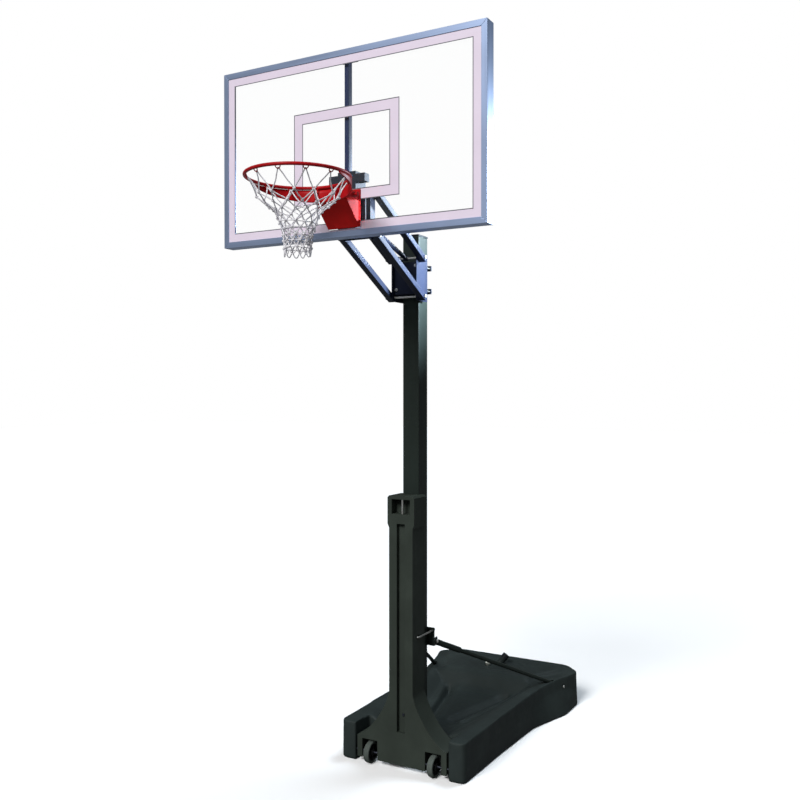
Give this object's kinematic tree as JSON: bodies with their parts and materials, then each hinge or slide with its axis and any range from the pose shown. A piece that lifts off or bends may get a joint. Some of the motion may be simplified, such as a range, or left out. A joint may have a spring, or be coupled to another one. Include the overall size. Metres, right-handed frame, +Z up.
{
  "type": "portable basketball hoop",
  "caption": "Portable basketball hoop: water-ballasted wheeled base, square mast with front shroud, parallel lift arms, framed glass backboard, breakaway rim and net.",
  "frame": {"origin": "On the floor, under the axis of the mast.", "axes": "+Z up, the board faces -Y, +X to the right of someone facing the board."},
  "size_m": [1.524, 2.7356, 3.7409],
  "materials": {
    "tank_plastic": "dark grey-green moulded polyethylene with a fine pebble grain",
    "ballast_water": "water that fills the tank",
    "black_steel": "black powder coat, slight orange peel",
    "blue_steel": "dark blue powder coat",
    "zinc": "bright zinc plate",
    "aluminium": "satin anodised",
    "glass": "clear tempered glass",
    "white_print": "white screen print",
    "rim_red": "red-orange gloss powder coat",
    "net_cord": "white braided cord",
    "wheel_grey": "grey moulded wheel with a light tread"
  },
  "bodies": {
    "stand": {"base_tank": "tank_plastic", "ballast": "ballast_water", "drain_plug": "zinc", "mast_pole": "black_steel", "mast_cap": "black_steel", "mast_shroud": "tank_plastic", "grab_bar": "zinc", "shroud_bolt": "black_steel", "wheel_axle": "zinc", "stay_u_bolt": "zinc", "stay_clamp_plate": "black_steel", "stay_cross_bolt": "zinc", "stay_left": "black_steel", "stay_right": "black_steel", "stay_bolt_left": "zinc", "stay_bolt_right": "zinc", "head_bracket": "black_steel", "clamp_bar_lower": "black_steel", "clamp_bar_upper": "black_steel", "clamp_bolt_lower_left": "zinc", "clamp_bolt_lower_right": "zinc", "clamp_bolt_upper_left": "zinc", "clamp_bolt_upper_right": "zinc", "mast_pin_lower": "zinc", "mast_pin_upper": "zinc"},
    "cap": {"filler_cap": "black_steel"},
    "wheel_l": {"wheel_left": "wheel_grey"},
    "wheel_r": {"wheel_right": "wheel_grey"},
    "lower_arms": {"lower_arm_left": "black_steel", "lower_arm_right": "black_steel"},
    "upper_arms": {"upper_arm_left": "black_steel", "upper_arm_right": "black_steel"},
    "strut_cylinder": {"lift_cylinder": "black_steel"},
    "strut_rod": {"lift_rod": "zinc"},
    "board": {"backboard_glass": "glass", "frame_bottom": "aluminium", "frame_top": "aluminium", "frame_left": "aluminium", "frame_right": "aluminium", "border_print": "white_print", "target_print": "white_print", "carrier_channel": "black_steel", "pivot_bracket": "black_steel", "board_pin_lower": "zinc", "board_pin_upper": "zinc", "spine_tube": "blue_steel", "spine_clip": "black_steel", "rim_mount": "rim_red", "rim_cover": "rim_red", "rim_hinge_pin": "rim_red", "rim_bolt_1": "black_steel", "rim_bolt_2": "black_steel", "rim_bolt_3": "black_steel", "rim_bolt_4": "black_steel", "rim_spring_left": "zinc", "rim_spring_right": "zinc"},
    "rim": {"rim_ring": "rim_red", "rim_brace": "rim_red", "rim_neck": "rim_red", "net": "net_cord"}
  },
  "joints": [
    {"name": "arm_lift", "type": "hinge", "parent": "stand", "child": "lower_arms", "pos_m": [0, -0.105, 2.587], "axis": [1, 0, 0], "range_deg": [0, 69]},
    {"name": "upper_arm_swing", "type": "hinge", "parent": "stand", "child": "upper_arms", "pos_m": [0, -0.105, 2.797], "axis": [1, 0, 0], "range_deg": [0, 69]},
    {"name": "board_level", "type": "hinge", "parent": "lower_arms", "child": "board", "pos_m": [0, -0.577, 2.84541], "axis": [1, 0, 0], "range_deg": [-69, 0]},
    {"name": "strut_swing", "type": "hinge", "parent": "stand", "child": "strut_cylinder", "pos_m": [0, -0.105, 2.797], "axis": [1, 0, 0], "range_deg": [0, 67.1]},
    {"name": "strut_extend", "type": "slide", "parent": "strut_cylinder", "child": "strut_rod", "axis": [0, -0.9524, 0.3047], "range_m": [0, 0.121]},
    {"name": "rim_breakaway", "type": "hinge", "parent": "board", "child": "rim", "pos_m": [0, -0.752, 3.017], "axis": [1, 0, 0], "range_deg": [0, 16], "stiffness_Nm_per_rad": 600, "springref_deg": -11.46, "deforming": ["rim_spring_left", "rim_spring_right"]},
    {"name": "wheel_left_spin", "type": "hinge", "parent": "stand", "child": "wheel_l", "pos_m": [-0.199, -0.15, 0.0605], "axis": [1, 0, 0], "continuous": true},
    {"name": "wheel_right_spin", "type": "hinge", "parent": "stand", "child": "wheel_r", "pos_m": [0.199, -0.15, 0.0605], "axis": [1, 0, 0], "continuous": true},
    {"name": "cap_lift", "type": "slide", "parent": "stand", "child": "cap", "axis": [0.5498, 0.2999, 0.7796], "range_m": [0, 0.03]}
  ],
  "couplings": [
    {"joint": "upper_arm_swing", "follows": "arm_lift", "ratio": 1},
    {"joint": "board_level", "follows": "arm_lift", "ratio": -1},
    {"joint": "strut_swing", "follows": "arm_lift", "ratio": 0.972},
    {"joint": "strut_extend", "follows": "arm_lift", "m_per_rad": 0.0997}
  ]
}
